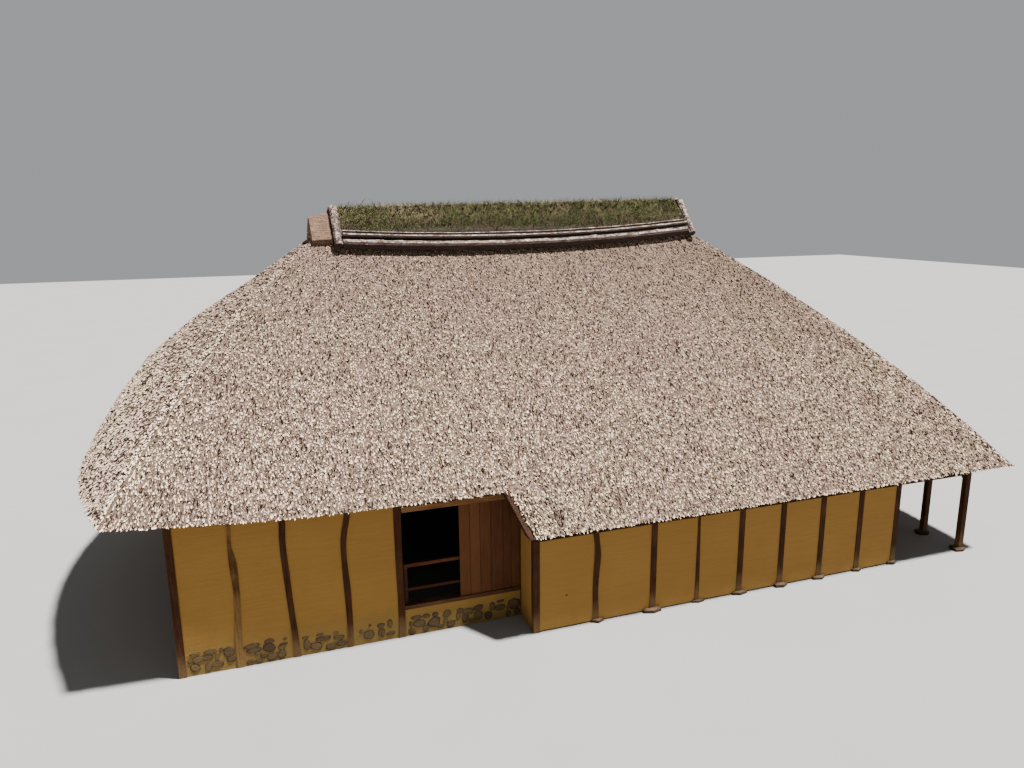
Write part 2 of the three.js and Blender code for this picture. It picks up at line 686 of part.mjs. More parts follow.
placeBoth('thatch', frontThatch(), straw);
place('left_thatch', endThatch(underLeft), straw);
place('right_thatch', endThatch(underRight), straw);
placeBoth('rafters', frontRafters(), bamboo);
place('left_rafters', endRafters(surfaces.left, rafterPlacesY), bamboo);
place('right_rafters', endRafters(surfaces.right, rafterPlacesY), bamboo);
place('roof_trusses', trusses(), darkWood);

place('turf_ridge', turfRidge(), grass);
placeBoth('ridge_roll', ridgeRoll(), bark);
placeBoth('ridge_pole', ridgePole(), bark);
place('left_ridge_end_roll', endRoll(ridgeLeft, rollHeights[0], endRollTops[0]), bark);
place('right_ridge_end_roll', endRoll(ridgeRight, rollHeights[2], endRollTops[1]), bark);
place('left_ridge_saddle', endSaddle(), straw);

// The origin is the centre of the base
const bounds = new THREE.Box3().setFromObject(house);
const centre = bounds.getCenter(new THREE.Vector3());
house.position.set(-centre.x, -centre.y, -bounds.min.z);
house.updateMatrixWorld(true);

export default house;
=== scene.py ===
import math
import bpy
import numpy as np
from mathutils import Matrix, Vector, noise
from mathutils.bvhtree import BVHTree


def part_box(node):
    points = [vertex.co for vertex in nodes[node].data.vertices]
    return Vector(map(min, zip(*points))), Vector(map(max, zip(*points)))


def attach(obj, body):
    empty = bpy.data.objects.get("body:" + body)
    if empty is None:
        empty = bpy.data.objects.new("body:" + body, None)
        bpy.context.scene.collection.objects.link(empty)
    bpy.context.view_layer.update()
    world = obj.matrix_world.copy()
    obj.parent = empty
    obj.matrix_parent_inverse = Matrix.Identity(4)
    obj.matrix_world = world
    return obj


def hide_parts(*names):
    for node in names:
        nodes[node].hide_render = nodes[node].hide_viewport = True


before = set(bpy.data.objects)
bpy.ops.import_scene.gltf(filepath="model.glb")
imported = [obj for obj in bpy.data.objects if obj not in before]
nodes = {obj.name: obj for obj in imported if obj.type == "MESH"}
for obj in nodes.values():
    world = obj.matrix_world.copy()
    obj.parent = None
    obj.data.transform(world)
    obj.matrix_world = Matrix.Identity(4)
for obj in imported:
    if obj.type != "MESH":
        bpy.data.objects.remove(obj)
for name in ("Cube", "Light", "Camera"):  # what a new file starts with
    if name in bpy.data.objects:
        bpy.data.objects.remove(bpy.data.objects[name])
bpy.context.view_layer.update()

# A thatched farmhouse: dark posts and ochre clay, a straw roof and a turf ridge held by bark rolls.
# Metres, the front looks to -Y.

# Camera: in front of the left part and a little higher than the eaves
view = {"place": (-6.4324, -16.805, 7.51), "lens": 27.49, "turn": 19.18, "down": 12.76, "roll": -0.55}
bpy.ops.object.camera_add(location=view["place"])
camera = bpy.context.object
camera.data.lens = view["lens"]
camera.data.sensor_width = 36
camera.rotation_euler = (
    Matrix.Rotation(math.radians(-view["turn"]), 3, "Z")
    @ Matrix.Rotation(math.radians(90 - view["down"]), 3, "X")
    @ Matrix.Rotation(math.radians(view["roll"]), 3, "Z")
).to_euler()
bpy.context.scene.camera = camera
print("camera set")


# Modelling helpers

def pickOnly(*objects):
    # selects these and nothing else, the first of them active
    bpy.ops.object.select_all(action="DESELECT")
    for obj in objects:
        obj.select_set(True)
    bpy.context.view_layer.objects.active = objects[0]


def editing(on):
    bpy.ops.object.mode_set(mode="EDIT" if on else "OBJECT")


def applyAll(obj):
    # modifiers and placing go into the mesh
    pickOnly(obj)
    for modifier in list(obj.modifiers):
        bpy.ops.object.modifier_apply(modifier=modifier.name)
    bpy.ops.object.transform_apply(location=True, rotation=True, scale=True)


def joined(parts, name):
    pickOnly(*parts)
    bpy.ops.object.join()
    parts[0].name = name
    parts[0].data.name = name
    return parts[0]


def finishPiece(obj, slot, look, *stoodFor):
    obj.data.materials.clear()
    obj.data.materials.append(look)
    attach(obj, "root")
    if stoodFor:
        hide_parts(*stoodFor)
    print("piece", obj.name, len(obj.data.polygons), "faces")


def newObject(name, data):
    obj = bpy.data.objects.new(name, data)
    bpy.context.scene.collection.objects.link(obj)
    return obj


def meshObject(name, points, faces):
    mesh = bpy.data.meshes.new(name)
    mesh.from_pydata(points, [], faces)
    return newObject(name, mesh)


def pointValues(obj, label, values):
    # a number for each point, which the materials read by this label
    layer = obj.data.attributes.new(label, "FLOAT", "POINT")
    layer.data.foreach_set("value", np.array(values, np.float32))


def roundEdges(obj, width):
    rounded = obj.modifiers.new("rounded", "BEVEL")
    rounded.width = width
    rounded.segments = 2


def templateOf(obj):
    # points and faces of a small model, which is then taken away
    points = np.array([v.co for v in obj.data.vertices])
    faces = [list(p.vertices) for p in obj.data.polygons]
    bpy.data.objects.remove(obj)
    return points, faces


# Shader helpers

def feed(tree, socket, value):
    # another node's output is linked, anything else is set
    if isinstance(value, bpy.types.NodeSocket):
        tree.links.new(value, socket)
    else:
        socket.default_value = (*value, 1) if socket.type == "RGBA" else value


def addNode(tree, kind, values=None, **settings):
    made = tree.nodes.new(kind)
    for key, value in settings.items():
        setattr(made, key, value)
    for key, value in (values or {}).items():
        feed(tree, made.inputs[key], value)
    return made


def mixColours(tree, share, first, second):
    made = addNode(tree, "ShaderNodeMix", data_type="RGBA")
    for key, value in ((0, share), (6, first), (7, second)):
        feed(tree, made.inputs[key], value)
    return made.outputs[2]


def maths(tree, operation, *values, clamp=False):
    made = addNode(tree, "ShaderNodeMath", dict(enumerate(values)), operation=operation, use_clamp=clamp)
    return made.outputs[0]


def laidOver(tree, colour, over, mask, share):
    # a second colour over the first where the mask is, at most by this share
    return mixColours(tree, maths(tree, "MULTIPLY", mask, share), colour, over)


def vectorMaths(tree, operation, *values):
    made = addNode(tree, "ShaderNodeVectorMath", dict(enumerate(values)), operation=operation)
    return made.outputs["Value" if operation in ("DISTANCE", "LENGTH", "DOT_PRODUCT") else "Vector"]


def ranged(tree, value, low, high, toLow=0.0, toHigh=1.0):
    made = addNode(tree, "ShaderNodeMapRange", {
        "Value": value, "From Min": low, "From Max": high, "To Min": toLow, "To Max": toHigh})
    return made.outputs[0]


def noiseAt(tree, place, scale, detail):
    made = addNode(tree, "ShaderNodeTexNoise", {"Vector": place, "Scale": scale, "Detail": detail})
    return made.outputs[0]


def heightOf(tree, vector):
    return addNode(tree, "ShaderNodeSeparateXYZ", {0: vector}).outputs[2]


def facingUp(tree):
    return heightOf(tree, addNode(tree, "ShaderNodeNewGeometry").outputs["Normal"])


def pointValue(tree, label):
    return addNode(tree, "ShaderNodeAttribute", attribute_name=label).outputs["Fac"]


def effectGroup(name, **inputs):
    # a group that turns a place into a mask; its inputs start from the values given here
    group = bpy.data.node_groups.new(name, "ShaderNodeTree")
    group.interface.new_socket("Vector", in_out="INPUT", socket_type="NodeSocketVector")
    for label, value in inputs.items():
        kind = "NodeSocketVector" if isinstance(value, tuple) else "NodeSocketFloat"
        socket = group.interface.new_socket(label.capitalize(), in_out="INPUT", socket_type=kind)
        socket.default_value = value
    group.interface.new_socket("Mask", in_out="OUTPUT", socket_type="NodeSocketFloat")
    return group, group.nodes.new("NodeGroupInput").outputs, group.nodes.new("NodeGroupOutput").inputs[0]


def strokesEffect():
    # noise drawn out along one way: grain, straw or trowel marks
    group, given, mask = effectGroup("strokes", stretch=(30, 30, 3), low=0.35, high=0.65, detail=4.0)
    drawn = vectorMaths(group, "MULTIPLY", given["Vector"], given["Stretch"])
    grain = addNode(group, "ShaderNodeTexNoise", {
        "Vector": drawn, "Scale": 1, "Detail": given["Detail"], "Roughness": 0.6})
    group.links.new(ranged(group, grain.outputs[0], given["Low"], given["High"]), mask)
    return group


def patchesEffect():
    # soft blotches of weather and age
    group, given, mask = effectGroup("patches", scale=1.0, low=0.4, high=0.6)
    cloud = addNode(group, "ShaderNodeTexNoise", {
        "Vector": given["Vector"], "Scale": given["Scale"], "Detail": 3, "Roughness": 0.55})
    group.links.new(ranged(group, cloud.outputs[0], given["Low"], given["High"]), mask)
    return group


def splashEffect():
    # mud and damp that fade out above the ground, along a ragged line
    group, given, mask = effectGroup("splash", height=0.5)
    ragged = noiseAt(group, given["Vector"], 5, 4)
    level = maths(group, "MULTIPLY_ADD", ragged, -0.35, heightOf(group, given["Vector"]))
    faded = maths(group, "DIVIDE", level, given["Height"])
    group.links.new(maths(group, "SUBTRACT", 1.0, faded, clamp=True), mask)
    return group


effects = {"strokes": strokesEffect(), "patches": patchesEffect(), "splash": splashEffect()}


def effect(tree, name, place, between=None, **values):
    # a mask; between gives the levels of its noise where it starts and where it is full
    if between:
        values["low"], values["high"] = between
    inputs = {label.capitalize(): value for label, value in values.items()}
    return addNode(tree, "ShaderNodeGroup", {"Vector": place, **inputs}, node_tree=effects[name]).outputs[0]


def startLook(name, rough, gloss=0.3):
    look = bpy.data.materials.new(name)
    look.use_nodes = True
    tree = look.node_tree
    shader = tree.nodes["Principled BSDF"]
    shader.inputs["Roughness"].default_value = rough
    shader.inputs["Specular IOR Level"].default_value = gloss
    return look, tree, shader, tree.nodes.new("ShaderNodeTexCoord").outputs["Object"]


def finishLook(tree, shader, colour, height, depth):
    bump = addNode(tree, "ShaderNodeBump", {"Height": height, "Distance": depth, "Strength": 1.0})
    tree.links.new(colour, shader.inputs["Base Color"])
    tree.links.new(bump.outputs[0], shader.inputs["Normal"])


# Clay plaster

plaster = {
    "ochre": (0.268, 0.140, 0.028), "deep": (0.252, 0.128, 0.025), "pale": (0.284, 0.152, 0.033),
    "damp": (0.17, 0.095, 0.022), "olive": (0.17, 0.108, 0.028), "rough": 0.93, "bump": 0.003,
    "trowel": (1.5, 1.5, 20), "trowelShare": 0.3, "fleck": (70, 70, 110), "fleckShare": 0.25, "grit": 60,
    # a small hole in the front wall, pressed in by the bump and painted near black inside as shade
    "dent": (-1.265, -4.86, 0.64), "dentRadius": 0.022, "dentShade": (0.02, 0.012, 0.006), "dentDepth": 4.0,
}


def plasterLook(name, foot, footHeight, share):
    look, tree, shader, place = startLook(name, plaster["rough"])
    cloud = effect(tree, "patches", place, (0.38, 0.62), scale=1.1)
    trowel = effect(tree, "strokes", place, (0.35, 0.7), stretch=plaster["trowel"])
    fleck = effect(tree, "strokes", place, (0.6, 0.7), stretch=plaster["fleck"])
    damp = effect(tree, "splash", place, height=footHeight)
    reach = vectorMaths(tree, "DISTANCE", place, plaster["dent"])
    dent = ranged(tree, reach, plaster["dentRadius"], 0.6 * plaster["dentRadius"])
    colour = mixColours(tree, cloud, plaster["ochre"], plaster["deep"])
    colour = laidOver(tree, colour, plaster["pale"], trowel, plaster["trowelShare"])
    colour = laidOver(tree, colour, plaster["damp"], fleck, plaster["fleckShare"])
    colour = laidOver(tree, colour, plaster[foot], damp, share)
    # painted shade inside the small hole
    colour = mixColours(tree, dent, colour, plaster["dentShade"])
    height = maths(tree, "ADD", trowel, noiseAt(tree, place, plaster["grit"], 5))
    height = maths(tree, "SUBTRACT", height, maths(tree, "MULTIPLY", dent, plaster["dentDepth"]))
    finishLook(tree, shader, colour, height, plaster["bump"])
    return look


# Timber: one recipe, with its own colours and grain for each kind

timber = {
    "post": {"dark": (0.022, 0.007, 0.003), "light": (0.070, 0.024, 0.007), "grey": (0.12, 0.060, 0.022),
             "worn": 0.25, "stretch": (38, 38, 2.2), "bump": 0.006, "foot": (0.17, 0.10, 0.045)},
    "oldPost": {"dark": (0.045, 0.017, 0.006), "light": (0.14, 0.060, 0.018), "grey": (0.26, 0.15, 0.052),
                "worn": 0.6, "stretch": (40, 40, 2.5), "bump": 0.008, "bleachAndShadeBelow": (1.45, 1.25)},
    # the rail's grey is near black: below the given height it darkens the lower part of the window guard as
    # painted shade
    "rail": {"dark": (0.045, 0.014, 0.006), "light": (0.13, 0.042, 0.015), "grey": (0.018, 0.007, 0.003),
             "worn": 0.2, "stretch": (2.5, 40, 40), "bump": 0.003, "bleachAndShadeBelow": (1.29, 1.2)},
    "board": {"dark": (0.038, 0.012, 0.005), "light": (0.085, 0.029, 0.011), "grey": (0.105, 0.043, 0.019),
              "worn": 0.35, "stretch": (30, 30, 1.6), "bump": 0.003, "paler": (0.18, 0.073, 0.024)},
    "sill": {"dark": (0.03, 0.012, 0.006), "light": (0.10, 0.045, 0.018), "grey": (0.14, 0.07, 0.03),
             "worn": 0.3, "stretch": (2.2, 40, 40), "bump": 0.004},
    "lintel": {"dark": (0.105, 0.045, 0.015), "light": (0.24, 0.115, 0.042), "grey": (0.28, 0.15, 0.058),
               "worn": 0.3, "stretch": (2.0, 36, 36), "bump": 0.003},
    "beam": {"dark": (0.018, 0.009, 0.005), "light": (0.055, 0.026, 0.013), "grey": (0.09, 0.05, 0.03),
             "worn": 0.2, "stretch": (14, 14, 14), "bump": 0.006},
    "edge": {"dark": (0.018, 0.007, 0.004), "light": (0.045, 0.019, 0.009), "grey": (0.055, 0.026, 0.014),
             "worn": 0.4, "stretch": (16, 16, 16), "bump": 0.006},
    "cane": {"dark": (0.09, 0.055, 0.025), "light": (0.22, 0.15, 0.07), "grey": (0.30, 0.22, 0.12),
             "worn": 0.3, "stretch": (18, 18, 18), "bump": 0.003},
}
wear = {"paler": 0.55, "bleachAndShadeBelow": (0.3, 0.85), "fine": 0.3, "damp": 0.6, "dampHeight": 0.3}


def timberLook(kind):
    recipe = timber[kind]
    look, tree, shader, place = startLook(kind + "Wood", 0.85, gloss=0.12)
    grain = effect(tree, "strokes", place, (0.33, 0.67), stretch=recipe["stretch"])
    fine = effect(tree, "strokes", place, (0.3, 0.7), stretch=tuple(4 * x for x in recipe["stretch"]))
    cloud = effect(tree, "patches", place, (0.42, 0.66), scale=2.3)
    damp = effect(tree, "splash", place, height=wear["dampHeight"])
    colour = mixColours(tree, grain, recipe["dark"], recipe["light"])
    colour = laidOver(tree, colour, recipe["grey"], cloud, recipe["worn"])
    if "paler" in recipe:  # some boards are paler than others
        colour = laidOver(tree, colour, recipe["paler"], pointValue(tree, "tone"), wear["paler"])
    if "bleachAndShadeBelow" in recipe:  # the grey colour takes over below this height: bleached wear on the old post, painted shade on the lower window guard
        low = ranged(tree, heightOf(tree, place), *recipe["bleachAndShadeBelow"])
        worn = maths(tree, "MULTIPLY", low, ranged(tree, grain, 0, 1, *wear["bleachAndShadeBelow"]))
        colour = mixColours(tree, worn, colour, recipe["grey"])
    colour = laidOver(tree, colour, recipe["dark"], fine, wear["fine"])
    colour = laidOver(tree, colour, recipe.get("foot", recipe["grey"]), damp, wear["damp"])
    height = maths(tree, "ADD", grain, maths(tree, "MULTIPLY", fine, 0.5))
    finishLook(tree, shader, colour, height, recipe["bump"])
    return look


# Thatch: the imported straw, and its slanting cut above the step

packed = {
    # the packed straw is painted near black as the shade under the tufts, with paler grain
    "straw": (0.05, 0.032, 0.024), "pale": (0.20, 0.13, 0.09), "grain": (45, 45, 9), "bump": 0.01,
    "cut": (0.46, 0.24, 0.14), "cutEnds": (0.13, 0.06, 0.03), "ends": 45, "lookingDown": (0.1, -0.3),
    # the slanting cut: a point of it, the way it faces, how far in, out and up its tone reaches; that tone is
    # the brown of cut straw, darkened as painted shade
    "verge": (-2.252, 0, 2.62), "vergeFacing": (-0.940, 0, -0.341), "vergeCutAndShade": (0.042, 0.018, 0.009),
    "vergeIn": (-0.055, -0.044), "vergeOut": (0.02, 0.01), "vergeTop": (2.66, 2.64),
}


def packedStrawLook():
    look, tree, shader, place = startLook("packedStraw", 0.95)
    grain = effect(tree, "strokes", place, (0.35, 0.65), stretch=packed["grain"])
    cells = addNode(tree, "ShaderNodeTexVoronoi", {"Vector": place, "Scale": packed["ends"]})
    ends = cells.outputs["Distance"]
    fromVerge = vectorMaths(tree, "SUBTRACT", place, packed["verge"])
    inward = vectorMaths(tree, "DOT_PRODUCT", fromVerge, packed["vergeFacing"])
    band = ranged(tree, inward, *packed["vergeIn"])
    band = maths(tree, "MULTIPLY", band, ranged(tree, inward, *packed["vergeOut"]))
    band = maths(tree, "MULTIPLY", band, ranged(tree, heightOf(tree, place), *packed["vergeTop"]))
    cutFace = mixColours(tree, ranged(tree, ends, 0.1, 0.6), packed["cut"], packed["cutEnds"])
    # painted shade: the near-black packed straw seen between the tufts
    colour = mixColours(tree, grain, packed["straw"], packed["pale"])
    # a band along the slanting cut: cut straw's brown, darkened as painted shade
    colour = mixColours(tree, band, colour, packed["vergeCutAndShade"])
    colour = mixColours(tree, ranged(tree, facingUp(tree), *packed["lookingDown"]), colour, cutFace)
    finishLook(tree, shader, colour, maths(tree, "ADD", grain, ends), packed["bump"])
    return look


# The saddle at the left end of the ridge: old straw packed in level layers

saddle = {
    "straw": (0.27, 0.16, 0.10), "deep": (0.09, 0.048, 0.029), "bump": 0.02,
    "layers": (5, 5, 34), "layerShare": 0.7, "stalks": (42, 42, 42), "stalkShare": 0.6,
}


def saddleLook():
    look, tree, shader, place = startLook("saddleStraw", 0.95)
    layers = effect(tree, "strokes", place, (0.4, 0.6), stretch=saddle["layers"])
    stalks = effect(tree, "strokes", place, (0.35, 0.65), stretch=saddle["stalks"])
    colour = laidOver(tree, saddle["straw"], saddle["deep"], layers, saddle["layerShare"])
    colour = laidOver(tree, colour, saddle["deep"], stalks, saddle["stalkShare"])
    finishLook(tree, shader, colour, maths(tree, "ADD", layers, stalks), saddle["bump"])
    return look


# Loose straw and grass

straw = {
    "pink": (0.98, 0.73, 0.57), "beige": (0.98, 0.80, 0.56), "brown": (0.11, 0.066, 0.044),
    # the straw of the end slopes is painted darker than that of the long slopes, as shade
    "shadedEndPink": (0.68, 0.49, 0.38), "shadedEndBeige": (0.68, 0.54, 0.38), "shadow": (0.012, 0.008, 0.006),
    "clouds": 0.8, "gaps": (0.535, 0.57), "fine": 2.5, "fineShare": 0.10, "bump": 0.01,
    # brown comes in with height and with a tuft's own tone: from, to, and its share at either end; by its
    # tone a share of the tufts takes the shadow colour whole, as painted shade
    "brownHigh": (3.8, 6.8, 0.0, 0.62), "brownTufts": (0.55, 0.85, 0.0, 0.7), "shadedTufts": (0.78, 0.80),
    # painted shade at each tuft's buried end, and its share at the foot
    "buried": (0.75, 0.2), "footShare": 0.75,
    # a patch of newer straw, and two spots of painted shade near the step: centre and half sizes
    "fresh": ((-1.35, -4.85, 2.25), (1.1, 0.6, 0.7)), "freshTone": (0.98, 0.84, 0.57),
    "darkSpots": [((-1.43, -4.92, 2.15), (0.10, 0.19, 0.21)), ((-0.24, -4.84, 2.24), (0.075, 0.19, 0.21))],
}


def spotAt(tree, place, centre, halves):
    # a soft-edged oval spot
    apart = vectorMaths(tree, "DIVIDE", vectorMaths(tree, "SUBTRACT", place, centre), halves)
    return ranged(tree, vectorMaths(tree, "LENGTH", apart), 1.0, 0.7)


def tuftLook(name, first, second, stretch, foot=(0.0, -1.0)):
    # tone differs from tuft to tuft, tip runs from the buried end to the free end, the foot lies in shade
    look, tree, shader, place = startLook(name, 1.0, gloss=0.0)
    tone, tip, height = pointValue(tree, "tone"), pointValue(tree, "tip"), heightOf(tree, place)
    cloud = effect(tree, "patches", place, (0.42, 0.58), scale=straw["clouds"])
    gaps = effect(tree, "strokes", place, straw["gaps"], stretch=stretch, detail=1.0)
    fine = effect(tree, "strokes", place, (0.35, 0.65), stretch=tuple(straw["fine"] * x for x in stretch))
    colour = mixColours(tree, cloud, first, second)
    colour = mixColours(tree, spotAt(tree, place, *straw["fresh"]), colour, straw["freshTone"])
    colour = mixColours(tree, ranged(tree, height, *straw["brownHigh"]), colour, straw["brown"])
    colour = mixColours(tree, ranged(tree, tone, *straw["brownTufts"]), colour, straw["brown"])
    # painted shade: some tufts take the shadow colour whole
    colour = mixColours(tree, ranged(tree, tone, *straw["shadedTufts"]), colour, straw["shadow"])
    colour = laidOver(tree, colour, straw["brown"], fine, straw["fineShare"])
    # painted shade: the gaps between straws, two dark spots near the step, each tuft's buried end and the
    # foot
    shades = [gaps, *(spotAt(tree, place, *darkSpot) for darkSpot in straw["darkSpots"]),
              ranged(tree, tip, *straw["buried"]), ranged(tree, height, *foot, 0.0, straw["footShare"])]
    for shade in shades:
        colour = mixColours(tree, shade, colour, straw["shadow"])
    finishLook(tree, shader, colour, maths(tree, "MULTIPLY", gaps, -1.0), straw["bump"])
    return look


# Bark

bark = {
    "pale": (0.38, 0.31, 0.26), "warm": (0.19, 0.125, 0.085), "under": (0.035, 0.018, 0.012),
    "crack": (0.05, 0.03, 0.02), "clouds": 7.0, "holes": 15.0, "lineShare": 0.8, "bump": 0.012,
    # how far up a face has to look to be pale, and how ragged that edge is: the pale top is partly bleached
    # bark and partly painted light, the dark underside partly the bark's own colour and partly painted shade
    "lookingUp": (0.98, 0.84), "ragged": 0.8,
}


def barkLook(name, stretch, holeShare):
    look, tree, shader, place = startLook(name, 0.85)
    cloud = effect(tree, "patches", place, (0.4, 0.6), scale=bark["clouds"])
    lines = effect(tree, "strokes", place, (0.49, 0.60), stretch=stretch)
    holes = effect(tree, "patches", place, (0.53, 0.58), scale=bark["holes"])
    ragged = maths(tree, "MULTIPLY", noiseAt(tree, place, 14, 3), bark["ragged"])
    lit = maths(tree, "ADD", facingUp(tree), ragged)
    colour = mixColours(tree, cloud, bark["pale"], bark["warm"])
    colour = laidOver(tree, colour, bark["crack"], lines, bark["lineShare"])
    colour = laidOver(tree, colour, bark["crack"], holes, holeShare)
    # painted light and shade: faces looking up are pale, faces looking down dark
    colour = mixColours(tree, ranged(tree, lit, *bark["lookingUp"]), colour, bark["under"])
    height = maths(tree, "SUBTRACT", cloud, maths(tree, "ADD", lines, holes))
    finishLook(tree, shader, colour, height, bark["bump"])
    return look


# Turf and its grass

turf = {
    "earth": (0.12, 0.085, 0.04), "moss": (0.075, 0.085, 0.02), "crumb": (0.02, 0.014, 0.008),
    "shade": (0.016, 0.009, 0.006), "shadeHeights": (7.12, 7.02), "bump": 0.03,
    "dryGrass": (0.88, 0.75, 0.40), "greenGrass": (0.36, 0.46, 0.13), "grassFoot": (7.36, 7.14),
}


def turfLook():
    look, tree, shader, place = startLook("sodTurf", 0.95)
    cloud = effect(tree, "patches", place, (0.4, 0.6), scale=3.0)
    crumbs = effect(tree, "strokes", place, (0.4, 0.65), stretch=(40, 40, 40))
    shade = ranged(tree, heightOf(tree, place), *turf["shadeHeights"])
    colour = mixColours(tree, cloud, turf["earth"], turf["moss"])
    colour = mixColours(tree, crumbs, colour, turf["crumb"])
    colour = mixColours(tree, shade, colour, turf["shade"])
    finishLook(tree, shader, colour, maths(tree, "ADD", cloud, crumbs), turf["bump"])
    return look


# Field stone

stone = {
    "ochre": (0.13, 0.083, 0.026), "brown": (0.065, 0.034, 0.013), "stain": (0.13, 0.085, 0.033),
    "speck": (0.035, 0.02, 0.01), "rim": (0.03, 0.017, 0.008), "rimFrom": (0.35, 0.8, 0.0, 0.85),
    "stainShare": 0.3, "speckShare": 0.4, "bump": 0.006,
}


def stoneLook():
    look, tree, shader, place = startLook("fieldStone", 0.88)
    speck = effect(tree, "strokes", place, (0.35, 0.65), stretch=(45, 45, 45))
    cloud = effect(tree, "patches", place, (0.35, 0.65), scale=9.0)
    colour = mixColours(tree, pointValue(tree, "tone"), stone["ochre"], stone["brown"])
    colour = laidOver(tree, colour, stone["stain"], cloud, stone["stainShare"])
    colour = laidOver(tree, colour, stone["speck"], speck, stone["speckShare"])
    rim = ranged(tree, pointValue(tree, "rim"), *stone["rimFrom"])
    colour = mixColours(tree, rim, colour, stone["rim"])
    finishLook(tree, shader, colour, maths(tree, "ADD", cloud, speck), stone["bump"])
    return look


looks = {
    "clay": plasterLook("clayPlaster", "damp", 0.35, 0.15),
    "clayOnStone": plasterLook("clayOnStone", "olive", 0.5, 0.9),
    "packedStraw": packedStrawLook(),
    "saddleStraw": saddleLook(),
    "tuftAlongY": tuftLook("frontStraw", straw["pink"], straw["beige"], (29, 15, 15)),
    # the end slopes wear the darker straw: painted shade
    "tuftAlongX": tuftLook("shadedEndStraw", straw["shadedEndPink"], straw["shadedEndBeige"], (15, 29, 15)),
    "grass": tuftLook("dryGrass", turf["dryGrass"], turf["greenGrass"], (12, 12, 12), turf["grassFoot"]),
    "turf": turfLook(),
    "stone": stoneLook(),
    "barkAlongX": barkLook("rollBark", (5, 40, 40), 0.75),
    "barkAlongY": barkLook("endRollBark", (30, 12, 30), 0.9),
}
looks.update({kind: timberLook(kind) for kind in timber})

# which finish each solid of the house wears
finishes = {
    "clay": ["front_right_wall", "front_step_wall", "back_step_wall", "back_right_wall_1",
             "back_right_wall_2", "right_end_wall"],
    "clayOnStone": ["front_left_wall", "front_window_wall", "back_left_wall", "left_end_wall"],
    "post": ["left_post_1", "left_post_3", "left_post_4", "left_post_5", "right_post_bowed",
             "right_post_tapered", "front_main_frame", "front_lower_frame", "back_main_frame",
             "back_lower_frame", "left_end_frame", "right_end_frame", "open_bay_frame"],
    "oldPost": ["left_post_2"],
    "sill": ["front_window_sill", "back_window_sill"],
    "lintel": ["front_window_lintel", "back_window_lintel"],
    "rail": ["front_window_guard"],
    "beam": ["roof_trusses"],
    "cane": ["front_rafters", "back_rafters", "left_rafters", "right_rafters"],
    "packedStraw": ["front_thatch", "back_thatch", "left_thatch", "right_thatch"],
    "saddleStraw": ["left_ridge_saddle"],
    "turf": ["turf_ridge"],
    "barkAlongX": ["front_ridge_pole", "back_ridge_pole"],
}
for kind, names in finishes.items():
    for name in names:
        nodes[name].data.materials.clear()
        nodes[name].data.materials.append(looks[kind])
print("looks made")


# Straw tufts over the thatch

tufts = {
    "length": 0.084, "width": 0.030, "thickness": 0.027, "slant": 0.25, "lift": 0.012, "sink": 0.008,
    "across": 0.037, "rise": 0.036, "firstRow": 0.006, "yaw": 0.3, "vary": (0.75, 1.3), "leanVary": 1.6,
    "root": 0.55,                     # how much of a tuft lies above its spot
    "overhang": 0.008,                # how far straw may pass an edge of the thatch
    "beside": 0.065, "below": 0.45,   # where a tuft is tested for that, in metres and in its own length
    "fan": 1.3, "turn": 0.85,         # how far from a hip, and how much, the straw turns along it
    "jump": 0.3,                      # a hip flatter than this is a jump between rows, nothing turns there
    "roundness": 0.3, "soft": 0.5,    # how far from a hip, and how much, the hip is rounded
    "seed": 7,
    "slopes": [
        ("front", "front_thatch", (0, -1)), ("back", "back_thatch", (0, 1)),
        ("left", "left_thatch", (-1, 0)), ("right", "right_thatch", (1, 0)),
    ],
    "split": 3.75,                    # the long slopes are two pieces, below and above this height
    "covers": ["turf_ridge", "left_ridge_saddle", "left_ridge_end_roll", "right_ridge_end_roll"],
    "coverReach": 0.3,
}


def wispModel(flat, slant):
    # a wisp along -Z: its root is a point, its free end is cut aslant
    bpy.ops.mesh.primitive_cone_add(vertices=3, radius1=0.5, radius2=0, depth=1, location=(0, 0, -0.5))
    obj = bpy.context.object
    applyAll(obj)
    editing(True)
    bpy.ops.mesh.select_all(action="SELECT")
    bpy.ops.transform.resize(value=(1, flat, 1))
    bpy.ops.mesh.select_all(action="DESELECT")
    editing(False)
    for vertex in obj.data.vertices:
        vertex.select = vertex.co.y > 0.2 * flat
    editing(True)
    bpy.ops.transform.translate(value=(0, 0, -slant))
    editing(False)
    return templateOf(obj)


def faceCorners(node):
    mesh = nodes[node].data
    return np.array([[mesh.vertices[v].co for v in face.vertices] for face in mesh.polygons])


def surfaceTree(*names):
    corners = np.concatenate([faceCorners(name) for name in names]).reshape(-1, 3)
    return BVHTree.FromPolygons(corners.tolist(), [(k, k + 1, k + 2) for k in range(0, len(corners), 3)])


def planeCuts(corners, axis, value):
    # each triangle that a plane across this axis meets, and the points where its edges meet it
    beyond = corners[:, :, axis] - value
    for k in np.flatnonzero((beyond.min(1) < 0) & (beyond.max(1) > 0)):
        corner, h = corners[k], beyond[k]
        yield k, [corner[i] + (corner[j] - corner[i]) * h[i] / (h[i] - h[j])
                  for i, j in ((0, 1), (1, 2), (2, 0)) if h[i] * h[j] < 0]


